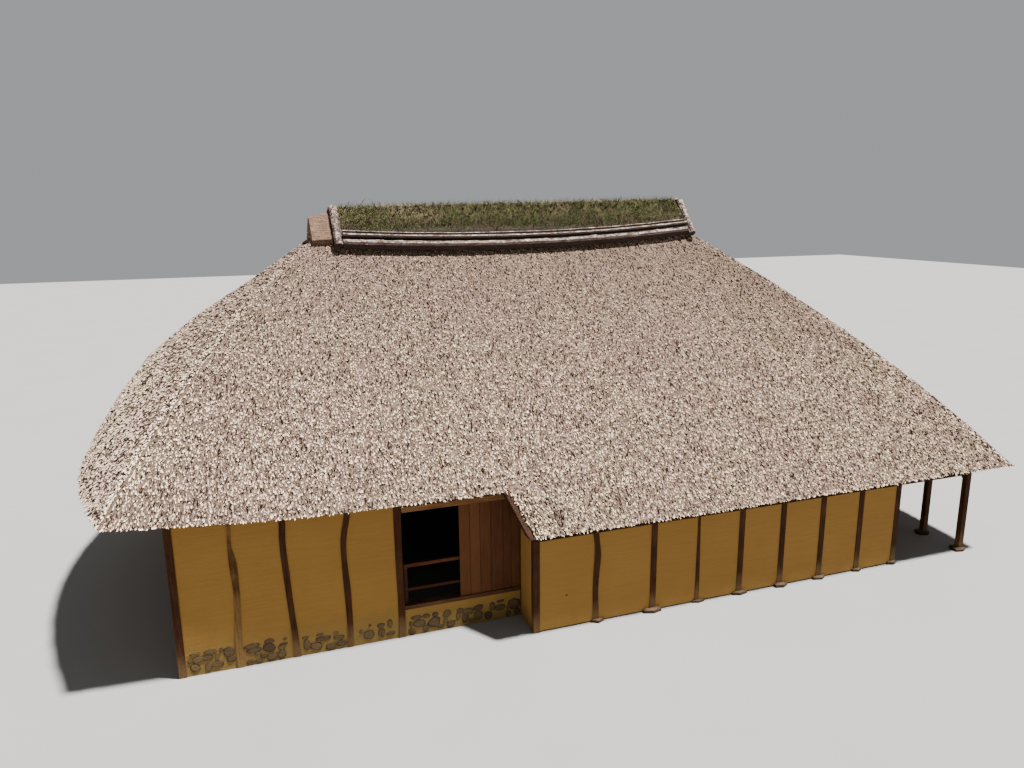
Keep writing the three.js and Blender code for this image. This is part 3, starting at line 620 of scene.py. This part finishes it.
def levelRows(node, outward, rng):
    # spots along level lines round the outer faces, row by row from the eave up, and the ends of each row
    corners = faceCorners(node)
    normals = np.cross(corners[:, 1] - corners[:, 0], corners[:, 2] - corners[:, 0])
    normals /= np.maximum(np.linalg.norm(normals, axis=1), 1e-12)[:, None]
    outer = (normals[:, 2] > 0.2) & (normals[:, :2] @ np.array(outward) > 0.05)
    corners, normals = corners[outer], normals[outer]
    side = 0 if outward[1] else 1
    spots, hips = [], []
    eave, top = corners[..., 2].min(), corners[..., 2].max()
    for level in np.arange(eave + tufts["firstRow"], top, tufts["rise"]):
        for k, ends in planeCuts(corners, 2, level):
            if len(ends) < 2:
                continue
            count = int(np.linalg.norm(ends[1] - ends[0]) / tufts["across"] + rng.random())
            share = (np.arange(count) + rng.uniform(0.05, 0.95, count)) / max(count, 1)
            spots += [(*(ends[0] + (ends[1] - ends[0]) * s), *normals[k]) for s in share]
            hips += [(level, *ends[0]), (level, *ends[1])]
    hips = np.array(hips)
    levels = np.unique(hips[:, 0])
    rows = [hips[hips[:, 0] == z][:, 1:].tolist() for z in levels]
    low, high = (np.array([pick(row, key=lambda p: p[side]) for row in rows]) for pick in (min, max))
    return np.array(spots), levels, low, high, side


def uncovered(spots):
    # leaves out what lies under the turf, the saddle and the end rolls
    tree = surfaceTree(*tufts["covers"])
    free = []
    for spot in spots:
        place, normal = Vector(spot[:3]), Vector(spot[3:])
        free.append(tree.ray_cast(place + normal * 0.003, normal, tufts["coverReach"])[0] is None)
    return np.array(free)


def combedStraw(spots, levels, low, high, side):
    # the way each tuft lies: down the slope, turning along a hip close by, its normal eased over the hip
    place, normal = spots[:, :3], spots[:, 3:].copy()
    fall = -normal[:, 2:] * -normal - np.array([0, 0, 1.0])
    fall /= np.linalg.norm(fall, axis=1)[:, None]
    for line, way in ((low, -1), (high, 1)):
        hip, slope = (np.stack([np.interp(place[:, 2], levels, course[:, k]) for k in range(3)], 1)
                      for course in (line, np.gradient(line, levels, axis=0)))
        slope = -slope / np.linalg.norm(slope, axis=1)[:, None]
        reach = np.linalg.norm((hip - place)[:, :2], axis=1)[:, None]
        outward = np.zeros((1, 3))
        outward[0, side] = way
        level = np.linalg.norm(normal[:, :2], axis=1)[:, None]
        soft = tufts["soft"] * np.exp(-(reach / tufts["roundness"]) ** 2)
        normal = normal * (1 - soft) + (outward * level + normal * [0, 0, 1]) * soft
        turned = tufts["turn"] * np.exp(-reach / tufts["fan"]) * (np.abs(slope[:, 2:]) > tufts["jump"])
        fall = fall * (1 - turned) + slope * turned
    normal /= np.linalg.norm(normal, axis=1)[:, None]
    fall -= (fall * normal).sum(1)[:, None] * normal
    fall /= np.linalg.norm(fall, axis=1)[:, None]
    return place, normal, fall


def heldIn(tree, place, normal, fall):
    # draws tufts back where their ends or sides would hang past an edge of the thatch
    side = np.cross(normal, fall)
    for way in (fall * tufts["below"] * tufts["length"], side * tufts["beside"], -side * tufts["beside"]):
        past = np.array([tree.find_nearest(Vector(spot))[3] for spot in place + way])
        back = np.maximum(past - tufts["overhang"], 0)[:, None]
        place = place - way / np.linalg.norm(way, axis=1)[:, None] * back
    return place


def scattered(name, place, normal, fall, model, sizes, lift, sink, rng):
    # copies the model to every spot, each with its own size and lie
    points, faces = model
    total, count = len(place), len(points)
    side = np.cross(normal, fall)
    yaw = rng.normal(0, tufts["yaw"], total)[:, None]
    fall, side = fall * np.cos(yaw) + side * np.sin(yaw), side * np.cos(yaw) - fall * np.sin(yaw)
    size = rng.uniform(*tufts["vary"], (total, 3)) * np.array(sizes)
    tip = -points[:, 2]
    lean = lift * rng.uniform(0.0, tufts["leanVary"], (total, 1))
    along = (tip[None] - tufts["root"]) * size[:, :1]
    wide = points[None, :, 0] * size[:, 1:2]
    up = points[None, :, 1] * size[:, 2:3] + lean * tip[None] - sink
    placed = (place[:, None] + along[..., None] * fall[:, None] + wide[..., None] * side[:, None]
              + up[..., None] * normal[:, None])
    obj = meshObject(name, placed.reshape(-1, 3).tolist(),
                     [[v + count * k for v in reversed(face)] for k in range(total) for face in faces])
    pointValues(obj, "tone", np.repeat(rng.uniform(0, 1, total), count))
    pointValues(obj, "tip", np.tile(np.clip(tip, 0, 1), total))
    return obj


def flatMap(obj, first, second):
    # the piece's own map is its outline seen square on
    flat = obj.data.uv_layers.new(name="OFBake")
    points = np.array([v.co for v in obj.data.vertices])
    spread = np.stack([points[:, first], points[:, second]], 1)
    spread = (spread - spread.min(0)) / np.ptp(spread, axis=0)
    corners = np.array([loop.vertex_index for loop in obj.data.loops])
    flat.uv.foreach_set("vector", (0.01 + 0.98 * spread[corners]).astype(np.float32).ravel())


def thatchRoof():
    rng = np.random.default_rng(tufts["seed"])
    wisp = wispModel(tufts["thickness"] / tufts["width"], tufts["slant"])
    sizes = (tufts["length"], tufts["width"], tufts["width"])
    thatch = surfaceTree(*[node for _, node, _ in tufts["slopes"]])
    for name, node, outward in tufts["slopes"]:
        spots, levels, low, high, side = levelRows(node, outward, rng)
        spots = spots[uncovered(spots)]
        place, normal, fall = combedStraw(spots, levels, low, high, side)
        place = place + fall * rng.uniform(-0.5, 0.5, (len(place), 1)) * tufts["rise"]
        place = heldIn(thatch, place, normal, fall)
        lower = place[:, 2] < tufts["split"]
        whole = {"_straw": np.ones(len(place), bool)}
        halves = {"_low_straw": lower, "_high_straw": ~lower}
        for part, kept in (whole if side else halves).items():
            obj = scattered(name + part, place[kept], normal[kept], fall[kept], wisp, sizes,
                            tufts["lift"], tufts["sink"], rng)
            flatMap(obj, side, 2)
            finishPiece(obj, "thatch", looks["tuftAlongX" if side else "tuftAlongY"])


thatchRoof()
print("roof thatched")


# The slanting cut of the thatch above the step wears a thick edge of bound straw

verge = {
    "corners": [(-2.252, 4.500, 2.62), (-2.252, 4.232, 2.62), (-2.002, 5.115, 1.93), (-2.002, 4.847, 1.93)],
    "thick": 0.06, "rounding": 0.01,
}


def vergeEdge(name, way):
    bpy.ops.mesh.primitive_plane_add(size=1)
    obj = bpy.context.object
    for vertex, (x, y, z) in zip(obj.data.vertices, verge["corners"]):
        vertex.co = (x, y * way, z)
    thick = obj.modifiers.new("thick", "SOLIDIFY")
    thick.thickness = verge["thick"]
    thick.offset = -way
    roundEdges(obj, verge["rounding"])
    applyAll(obj)
    obj.name = name
    finishPiece(obj, "thatch", looks["edge"])


vergeEdge("front_verge_edge", -1)
vergeEdge("back_verge_edge", 1)


# Short grass on the turf of the ridge

sod = {
    "length": 0.29, "width": 0.016, "slant": 0.4, "apart": 0.021, "lean": 0.6, "upward": 0.5,
    "margin": 0.02, "above": 7.08, "top": 7.945, "dropFrom": 9, "seed": 11,
}


def ridgeGrass():
    rng = np.random.default_rng(sod["seed"])
    tree = surfaceTree("turf_ridge")
    low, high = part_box("turf_ridge")
    found = []
    for x in np.arange(low.x + sod["margin"], high.x - sod["margin"], sod["apart"]):
        for y in np.arange(low.y, high.y, sod["apart"]):
            dx, dy = rng.uniform(-0.5, 0.5, 2) * sod["apart"]
            overhead = Vector((x + dx, y + dy, sod["dropFrom"]))
            place, normal, _, _ = tree.ray_cast(overhead, Vector((0, 0, -1)))
            if place is not None and place.z > sod["above"]:
                grown = Vector(rng.normal(0, sod["lean"], 3)) + Vector((0, 0, sod["upward"])) + normal
                found.append((*place, *normal.orthogonal().normalized(), *grown.normalized()))
    found = np.array(found)
    way = found[:, 6:]
    across = np.cross(way, found[:, 3:6])
    across /= np.linalg.norm(across, axis=1)[:, None]
    # a blade is a wisp turned end for end, so that its point is free
    points, faces = wispModel(1, sod["slant"])
    points[:, 2] = -1 - points[:, 2]
    blade = (points, [face[::-1] for face in faces])
    sizes = (sod["length"], sod["width"], sod["width"])
    obj = scattered("ridge_grass", found[:, :3], across, way, blade, sizes, 0, 0, rng)
    for vertex in obj.data.vertices:
        vertex.co.z = min(vertex.co.z, sod["top"])
    finishPiece(obj, "turf", looks["grass"])


ridgeGrass()


# Bark laps round the ridge rolls

rolls = {
    "sides": 12, "overlap": 0.04, "taper": 0.92, "swell": (0.96, 1.03), "seed": 5,
    "wobble": 0.012, "wobbles": 11,   # how uneven the bark is, and how closely
    # an end roll: how long it is for its width, how much of it is bent, how far its feet run on
    "arc": 1.1, "bent": 0.75, "feet": 1.9,
    # node, piece, look, radius, length of a bark sheet, the way it lies: 0 along X, 1 along Y
    "made": [
        ("front_ridge_roll", "front_bark_roll", "barkAlongX", 0.104, 0.40, 0),
        ("back_ridge_roll", "back_bark_roll", "barkAlongX", 0.104, 0.40, 0),
        ("left_ridge_end_roll", "left_end_bark", "barkAlongY", 0.099, 0.13, 1),
        ("right_ridge_end_roll", "right_end_bark", "barkAlongY", 0.099, 0.13, 1),
    ],
    "slimPole": {"radius": 0.02, "inward": 0.055, "higher": 0.07, "steps": 24,
                 "waver": 0.008, "knots": 0.25},
}


def sectionCentre(corners, axis, value):
    # middle of a roll where a plane across it cuts its faces
    met = np.array([end for _, ends in planeCuts(corners, axis, value) for end in ends])
    return Vector((met.min(0) + met.max(0)) / 2)


def rollPath(node, axis, steps):
    # the line through a roll's middle; an end roll is bent over the ridge and its feet run straight on
    corners = faceCorners(node)
    low, high = corners[..., axis].min(), corners[..., axis].max()
    if axis == 0:
        return [sectionCentre(corners, axis, v) for v in np.linspace(low + 0.001, high - 0.001, steps + 1)]
    shares = np.linspace(-rolls["bent"], rolls["bent"], steps + 1)
    path = [sectionCentre(corners, axis, share * high) for share in shares]
    foot = path[0] + (path[0] - path[1]) * rolls["feet"]
    end = path[-1] + (path[-1] - path[-2]) * rolls["feet"]
    return [foot, *path, end]


def sheetModel():
    # one sheet of bark as a plain sleeve, 1 long and 1 in radius, with enough points to make it uneven
    bpy.ops.mesh.primitive_cylinder_add(vertices=rolls["sides"], radius=1, depth=1, location=(0, 0, 0.5))
    obj = bpy.context.object
    applyAll(obj)
    editing(True)
    bpy.ops.mesh.select_all(action="SELECT")
    bpy.ops.mesh.subdivide(number_cuts=1)
    editing(False)
    return templateOf(obj)


def barkRoll(node, name, look, radius, sheet, axis, model, rng):
    points, faces = model
    low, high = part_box(node)
    steps = round((high.y - low.y) * rolls["arc"] / sheet if axis else (high.x - low.x) / sheet)
    stops = rollPath(node, axis, steps)
    allPoints, allFaces = [], []
    for k, (a, b) in enumerate(zip(stops, stops[1:])):
        way = (b - a).normalized()
        turn = way.to_track_quat("Z", "Y").to_matrix()
        start = a - way * (rolls["overlap"] if k else 0)
        length, swell, offset = (b - start).length, rng.uniform(*rolls["swell"]), len(allPoints)
        for x, y, z in points:
            size = radius * swell * (rolls["taper"] + (1 - rolls["taper"]) * z)
            spot = start + turn @ Vector((x * size, y * size, z * length))
            rough = turn @ Vector((x, y, 0)) * noise.noise(spot * rolls["wobbles"]) * rolls["wobble"]
            allPoints.append(spot + rough)
        allFaces += [[v + offset for v in face] for face in faces]
    finishPiece(meshObject(name, allPoints, allFaces), "bark", looks[look], node)


def slimPole(name, node, inward):
    # a slim pole lying on the turf just above each ridge pole
    pole = rolls["slimPole"]
    path = rollPath(node, 0, pole["steps"])
    curve = bpy.data.curves.new(name, "CURVE")
    curve.dimensions = "3D"
    curve.bevel_depth = pole["radius"]
    curve.bevel_resolution = 2
    curve.use_fill_caps = True
    line = curve.splines.new("POLY")
    line.points.add(len(path) - 1)
    for point, spot in zip(line.points, path):
        spot = spot + Vector((0, inward * pole["inward"], pole["higher"]))
        point.co = (*(spot + noise.noise_vector(spot * 2) * pole["waver"]), 1)
        point.radius = 1 + pole["knots"] * noise.noise(spot * 3)
    pickOnly(newObject(name, curve))
    bpy.ops.object.convert(target="MESH")
    finishPiece(bpy.context.object, "bark", looks["barkAlongX"])


def ridgeRolls():
    rng = np.random.default_rng(rolls["seed"])
    noise.seed_set(rolls["seed"])  # the poles waver the same way each time
    model = sheetModel()
    for node, name, look, radius, sheet, axis in rolls["made"]:
        barkRoll(node, name, look, radius, sheet, axis, model, rng)
    slimPole("front_slim_pole", "front_ridge_pole", 1)
    slimPole("back_slim_pole", "back_ridge_pole", -1)


ridgeRolls()
print("ridge dressed")


# Board leaf of the window

leaf = {
    "seams": [-3.065, -2.866, -2.675, -2.475, -2.234, -2.080, -1.915],
    "tones": [0.75, 0.95, 0.55, 0.25, 0.15, 0.3], "crack": 0.006, "thickness": 0.020, "bevel": 0.003,
    "battens": [0.78, 1.47, 2.16], "battenHigh": 0.09, "battenShort": 0.02,
}


def oneBoard(low, high, bevel, tone):
    # a board between two opposite corners
    middle = [(a + b) / 2 for a, b in zip(low, high)]
    bpy.ops.mesh.primitive_cube_add(size=1, location=middle, scale=[b - a for a, b in zip(low, high)])
    obj = bpy.context.object
    bpy.ops.object.transform_apply(location=True, rotation=True, scale=True)
    roundEdges(obj, bevel)
    applyAll(obj)
    pointValues(obj, "tone", [tone] * len(obj.data.vertices))
    return obj


def boardLeaf(name, node, outward):
    # upright boards, with battens on the inner side
    low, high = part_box(node)
    face, back = (low.y, high.y) if outward < 0 else (high.y, low.y)
    inner = face - outward * leaf["thickness"]
    shift = low.x - leaf["seams"][0]
    halfCrack, halfBatten = leaf["crack"] / 2, leaf["battenHigh"] / 2
    parts = []
    y0, y1 = sorted((face, inner))
    for a, b, tone in zip(leaf["seams"], leaf["seams"][1:], leaf["tones"]):
        parts.append(oneBoard((a + shift + halfCrack, y0, low.z), (b + shift - halfCrack, y1, high.z),
                              leaf["bevel"], tone))
    y0, y1 = sorted((inner, back))
    for middle in leaf["battens"]:
        parts.append(oneBoard((low.x + leaf["battenShort"], y0, middle - halfBatten),
                              (high.x - leaf["battenShort"], y1, middle + halfBatten),
                              leaf["bevel"] / 2, 0))
    finishPiece(joined(parts, name), "board_wood", looks["board"], node)


boardLeaf("front_board_leaf", "front_window_shutter", -1)
boardLeaf("back_board_leaf", "back_window_shutter", 1)
boardLeaf("back_inner_leaf", "back_window_inner_shutter", 1)
print("window boards made")


# Field stones: bedded in the foot of the left walls, and flat ones under the posts

rubble = {
    "proud": 0.012, "deep": 0.02, "swell": (0.60, 0.64), "seed": 3,
    # the left end: where the front's first bay starts, how wide its bays are, and how many the end has
    "corner": -7.808, "bay": 0.914, "frontBays": 4, "endBays": 9,
    # x, z, width, height of each stone in the front wall
    "front": [
        (-7.60, 0.39, 0.15, 0.05), (-7.36, 0.38, 0.19, 0.07), (-7.19, 0.38, 0.06, 0.07),
        (-7.07, 0.32, 0.15, 0.16), (-7.56, 0.28, 0.18, 0.11), (-7.68, 0.28, 0.07, 0.08),
        (-7.42, 0.28, 0.17, 0.09), (-7.26, 0.26, 0.06, 0.10), (-7.04, 0.19, 0.13, 0.10),
        (-7.61, 0.14, 0.15, 0.13), (-7.41, 0.10, 0.09, 0.13), (-7.27, 0.14, 0.20, 0.09),
        (-6.71, 0.35, 0.23, 0.08), (-6.68, 0.27, 0.23, 0.07), (-6.43, 0.39, 0.15, 0.08),
        (-6.43, 0.27, 0.18, 0.14), (-6.61, 0.20, 0.12, 0.06), (-6.74, 0.07, 0.13, 0.07),
        (-6.60, 0.06, 0.11, 0.07), (-6.39, 0.10, 0.18, 0.13), (-6.23, 0.24, 0.11, 0.08),
        (-6.20, 0.29, 0.12, 0.04), (-6.17, 0.38, 0.05, 0.04), (-6.23, 0.11, 0.13, 0.16),
        (-6.53, 0.13, 0.10, 0.07), (-5.83, 0.33, 0.10, 0.04), (-5.59, 0.34, 0.11, 0.04),
        (-5.54, 0.25, 0.22, 0.08), (-5.32, 0.32, 0.08, 0.04), (-5.27, 0.22, 0.17, 0.08),
        (-5.81, 0.19, 0.12, 0.19), (-5.66, 0.13, 0.18, 0.15), (-5.42, 0.08, 0.17, 0.13),
        (-5.23, 0.11, 0.16, 0.11), (-4.88, 0.25, 0.06, 0.07), (-4.73, 0.34, 0.04, 0.04),
        (-4.75, 0.17, 0.17, 0.15), (-4.53, 0.30, 0.13, 0.08), (-4.53, 0.16, 0.11, 0.14),
        (-4.37, 0.30, 0.09, 0.15), (-4.37, 0.12, 0.14, 0.07), (-3.90, 0.33, 0.19, 0.07),
        (-3.71, 0.33, 0.12, 0.07), (-3.55, 0.33, 0.10, 0.08), (-3.33, 0.30, 0.14, 0.13),
        (-3.08, 0.31, 0.12, 0.09), (-2.73, 0.32, 0.19, 0.10), (-2.47, 0.29, 0.11, 0.14),
        (-2.31, 0.36, 0.13, 0.05), (-2.32, 0.24, 0.18, 0.11), (-2.04, 0.26, 0.22, 0.18),
        (-2.92, 0.28, 0.20, 0.11), (-2.99, 0.17, 0.13, 0.18), (-2.74, 0.16, 0.17, 0.15),
        (-2.54, 0.12, 0.13, 0.13), (-2.15, 0.08, 0.09, 0.11), (-1.98, 0.09, 0.11, 0.12),
        (-3.85, 0.21, 0.22, 0.13), (-3.57, 0.18, 0.24, 0.18), (-3.36, 0.17, 0.09, 0.08),
        (-3.12, 0.21, 0.08, 0.13), (-3.26, 0.09, 0.15, 0.11), (-4.00, 0.22, 0.05, 0.11),
        (-3.73, 0.09, 0.10, 0.12), (-3.98, 0.08, 0.12, 0.11), (-2.85, 0.08, 0.12, 0.07),
        (-3.45, 0.08, 0.12, 0.06), (-2.16, 0.21, 0.06, 0.07),
    ],
}


def stoneModel():
    # a flat stone with seven corners, its face towards +Z
    bpy.ops.mesh.primitive_cylinder_add(vertices=7, radius=1, depth=2)
    obj = bpy.context.object
    editing(True)
    bpy.ops.mesh.select_mode(type="FACE")
    bpy.ops.mesh.select_all(action="DESELECT")
    editing(False)
    for face in obj.data.polygons:
        face.select = face.normal.z > 0.9
    editing(True)
    bpy.ops.transform.translate(value=(0, 0, -0.5))
    bpy.ops.mesh.inset(thickness=0.14, depth=0.3)
    bpy.ops.mesh.inset(thickness=0.2, depth=0.2)
    editing(False)
    return templateOf(obj)


def stonePiece(name, stones):
    # each stone: centre, half sizes, tone, and which way it faces
    points, faces = stoneModel()
    points = points / np.abs(points).max(0)
    reach = np.linalg.norm(points[:, :2], axis=1)
    allPoints, allFaces, tones = [], [], []
    for centre, halves, tone, facing in stones:
        offset = len(allPoints)
        turn = Vector(facing).to_track_quat("Z", "Y").to_matrix()
        centre, halves = Vector(centre), Vector(halves)
        for x, y, z in points:
            corner = Vector((x, y, 0))
            rough = corner * (1 + 0.45 * noise.noise(corner * 1.3 + centre * 5.1)) + Vector((0, 0, z))
            rough = Vector([max(-1, min(1, c)) for c in rough])
            allPoints.append(centre + turn @ (rough * halves))
        allFaces += [[v + offset for v in face] for face in faces]
        tones += [tone] * len(points)
    obj = meshObject(name, allPoints, allFaces)
    rim = np.clip(2.2 * reach / reach.max() - 1.2, 0, 1)  # 0 over most of the face, 1 at its edge
    pointValues(obj, "tone", tones)
    pointValues(obj, "rim", np.tile(rim, len(stones)))
    finishPiece(obj, "clay", looks["stone"])


def beddedStones():
    # the same stones in the front and the back, and bay by bay again along the left end
    rng = np.random.default_rng(rubble["seed"])
    half = (rubble["proud"] + rubble["deep"]) / 2
    inset = rubble["proud"] - half

    def stoneAt(centre, width, height, facing):
        halves = (width * rubble["swell"][0], height * rubble["swell"][1], half)
        return centre, halves, rng.uniform(0, 1), facing

    for name, node, way in (("front_rubble", "front_left_wall", -1), ("back_rubble", "back_left_wall", 1)):
        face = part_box(node)[0 if way < 0 else 1].y
        stonePiece(name, [stoneAt((x, face + way * inset, z), w, h, (0, way, 0))
                          for x, z, w, h in rubble["front"]])
    face, bay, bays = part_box("left_end_wall")[0].x, rubble["bay"], rubble["endBays"]
    stones = []
    for k in range(bays):
        start = rubble["corner"] + (k % rubble["frontBays"]) * bay
        stones += [stoneAt((face - inset, (k - bays / 2) * bay + x - start, z), w, h, (-1, 0, 0))
                   for x, z, w, h in rubble["front"] if start < x < start + bay]
    stonePiece("end_rubble", stones)


beddedStones()

footing = {
    # the foot stones' tones are held to the dark end, as painted shade
    "size": (0.17, 0.15, 0.03), "vary": (0.8, 1.2), "shift": 0.03, "tones": (0.7, 1.0), "seed": 9,
    "places": [-0.676, 0.500, 1.463, 2.426, 3.389, 4.352, 5.315, 6.278, 8.204], "lines": (-4.815, 4.815),
    "doorway": 3.389, "bayLine": 8.204, "bayPlaces": [-3.852, -1.926, 0, 1.926, 3.852],
}


def footStones():
    rng = np.random.default_rng(footing["seed"])
    spots = [(x, y) for y in footing["lines"] for x in footing["places"]
             if y < 0 or x != footing["doorway"]]
    spots += [(footing["bayLine"], y) for y in footing["bayPlaces"]]
    stones = []
    for x, y in spots:
        w, d, h = (s * rng.uniform(*footing["vary"]) for s in footing["size"])
        x += rng.uniform(-footing["shift"], footing["shift"])
        # tones from the dark end: painted shade
        stones.append(((x, y, h), (w, d, h), rng.uniform(*footing["tones"]), (0, 0, 1)))
    stonePiece("foot_stones", stones)


footStones()
print("stones laid")


# Studio: a pale floor, soft light from above, a bright room

studio = {
    "floor": (0.225, 0.22, 0.21), "floorVary": 0.96, "floorSize": 160, "floorDrop": 0.001,
    "sky": (0.95, 0.97, 1.0), "skyStrength": 0.38, "sunStrength": 18.5, "sunSpread": 4, "sunTilt": (7, 17, 0),
}


def floorLook():
    look, tree, shader, place = startLook("paleFloor", 0.9)
    cloud = effect(tree, "patches", place, (0.3, 0.7), scale=0.4)
    darker = tuple(studio["floorVary"] * c for c in studio["floor"])
    colour = mixColours(tree, cloud, studio["floor"], darker)
    tree.links.new(colour, shader.inputs["Base Color"])
    return look


def setStudio():
    bpy.ops.mesh.primitive_plane_add(size=studio["floorSize"], location=(0, 0, -studio["floorDrop"]))
    floor = bpy.context.object
    floor.name = "floor"
    floor.data.materials.append(floorLook())
    world = bpy.data.worlds.new("room")
    world.use_nodes = True
    sky = world.node_tree.nodes["Background"].inputs
    sky["Color"].default_value = (*studio["sky"], 1)
    sky["Strength"].default_value = studio["skyStrength"]
    bpy.context.scene.world = world
    bpy.ops.object.light_add(type="SUN", rotation=[math.radians(a) for a in studio["sunTilt"]])
    sun = bpy.context.object
    sun.data.energy = studio["sunStrength"]
    sun.data.angle = math.radians(studio["sunSpread"])


setStudio()
print("studio set")
